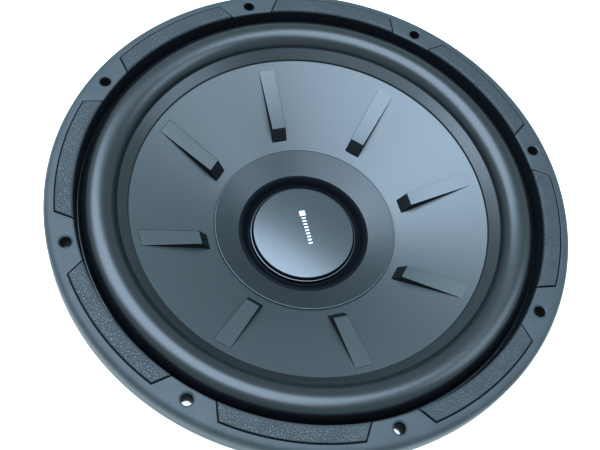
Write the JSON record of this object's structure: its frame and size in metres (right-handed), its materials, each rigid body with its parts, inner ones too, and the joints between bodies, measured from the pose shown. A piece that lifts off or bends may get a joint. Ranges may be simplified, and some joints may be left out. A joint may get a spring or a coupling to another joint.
{
  "type": "car subwoofer speaker",
  "caption": "Round car subwoofer driver with a ribbed dish cone, half-roll rubber surround, grained trim ring, pressed basket, ferrite motor and push terminals.",
  "frame": {"origin": "centre of the bolt circle on the flange's underside, the plane that meets the baffle", "axes": "+Z along the speaker's axis towards the front, where the cone faces; +X through a bolt hole; the terminals are on the -X side"},
  "size_m": [0.3156, 0.3156, 0.1546],
  "materials": {
    "basket_paint": "semi-gloss black paint on pressed steel",
    "trim_rubber": "moulded rubber, satin lands and leather-grained pads",
    "surround_rubber": "matte butyl rubber",
    "spider_cloth": "resin-treated woven cloth",
    "cone_plastic": "satin moulded polypropylene",
    "cap_plastic": "satin moulded plastic",
    "disc_plastic": "satin moulded plastic",
    "former_foil": "amber-coated foil",
    "collar_paper": "kraft paper wrap",
    "coil_copper": "enamelled copper winding",
    "plate_steel": "zinc-plated turned steel",
    "ferrite": "ground ferrite",
    "screen_steel": "black-painted perforated steel",
    "boot_rubber": "satin moulded rubber",
    "screw_steel": "black oxide steel",
    "block_plastic": "moulded black ABS",
    "rivet_steel": "bright steel",
    "contact_brass": "stamped brass",
    "spring_steel": "drawn spring wire",
    "red_plastic": "gloss moulded plastic",
    "black_plastic": "gloss moulded plastic",
    "braid_copper": "braided tinsel"
  },
  "bodies": {
    "frame": {"basket": "basket_paint", "gasket_ring": "trim_rubber", "surround": "surround_rubber", "spider": "spider_cloth", "top_plate": "plate_steel", "magnet_front": "ferrite", "magnet_rear": "ferrite", "yoke": "plate_steel", "vent_screen": "screen_steel", "magnet_boot": "boot_rubber", "basket_screws": "screw_steel", "terminal_block": "block_plastic", "terminal_rivets": "rivet_steel", "red_contact": "contact_brass", "black_contact": "contact_brass", "red_spring": "spring_steel", "black_spring": "spring_steel", "red_lead": "braid_copper", "black_lead": "braid_copper"},
    "cone_assembly": {"cone": "cone_plastic", "dust_cap": "cap_plastic", "cap_disc": "disc_plastic", "coil_former": "former_foil", "former_collar": "collar_paper", "voice_coil": "coil_copper"},
    "red_post": {"red_button": "red_plastic"},
    "black_post": {"black_button": "black_plastic"}
  },
  "joints": [
    {"name": "cone_travel", "type": "slide", "parent": "frame", "child": "cone_assembly", "axis": [0, 0, 1], "range_m": [-0.01, 0.01], "stiffness_N_per_m": 5300, "deforming": ["surround", "spider", "red_lead", "black_lead"]},
    {"name": "red_press", "type": "slide", "parent": "frame", "child": "red_post", "axis": [1, 0, 0], "range_m": [0, 0.0035], "stiffness_N_per_m": 900, "deforming": ["red_spring"]},
    {"name": "black_press", "type": "slide", "parent": "frame", "child": "black_post", "axis": [1, 0, 0], "range_m": [0, 0.0035], "stiffness_N_per_m": 900, "deforming": ["black_spring"]}
  ]
}
